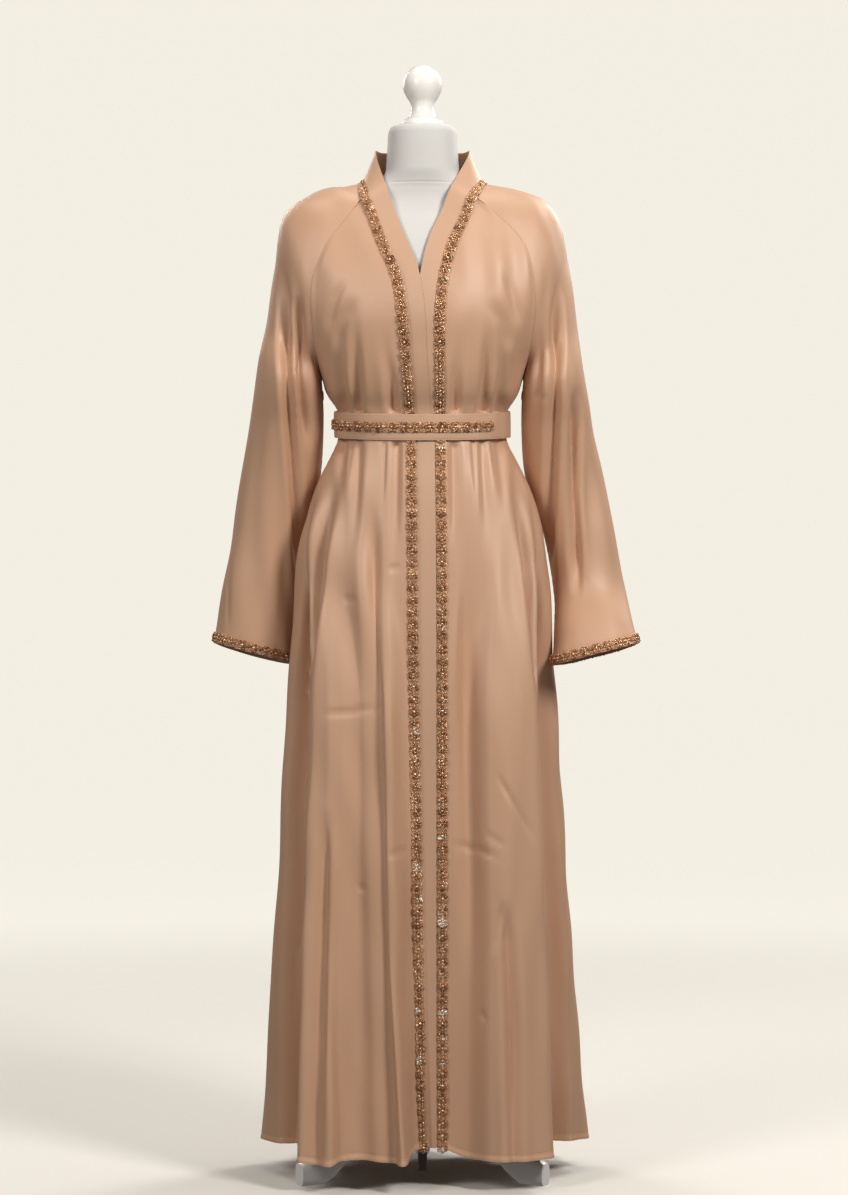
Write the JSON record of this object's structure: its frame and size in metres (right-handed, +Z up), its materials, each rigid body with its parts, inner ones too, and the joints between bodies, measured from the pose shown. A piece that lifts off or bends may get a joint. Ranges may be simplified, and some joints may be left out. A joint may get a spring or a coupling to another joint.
{
  "type": "abaya cloak on a dress form with stand",
  "caption": "Floor-length belted open cloak with wide raglan sleeves, lapped neck band and beaded trims, worn by a limbless dress form on a three-legged stand.",
  "frame": {"origin": "on the floor, at the centre of the bounding box's base", "axes": "+Z up, the front of the garment faces -Y, the wearer's left is +X"},
  "size_m": [0.6301, 0.396, 1.63],
  "materials": {
    "satin": "smooth nude satin with a soft sheen",
    "satin_band": "smooth nude satin, interfaced band",
    "beading": "copper sequin rings and beads in small flowers on a woven tape",
    "form": "white jersey stretched over a rigid form",
    "stand": "white lacquer",
    "dark_steel": "dark painted steel"
  },
  "bodies": {
    "root": {"front_right": "satin", "front_left": "satin", "back": "satin", "sleeve_right": "satin", "sleeve_left": "satin", "band_right": "satin_band", "band_left": "satin_band", "trim_right": "beading", "trim_left": "beading", "cuff_trim_right": "beading", "cuff_trim_left": "beading", "belt": "satin", "belt_trim": "beading", "form_body": "form", "finial": "stand", "pole": "stand", "hub": "stand", "post_tip": "dark_steel", "leg_right": "stand", "leg_left": "stand", "leg_rear": "stand"}
  },
  "joints": []
}
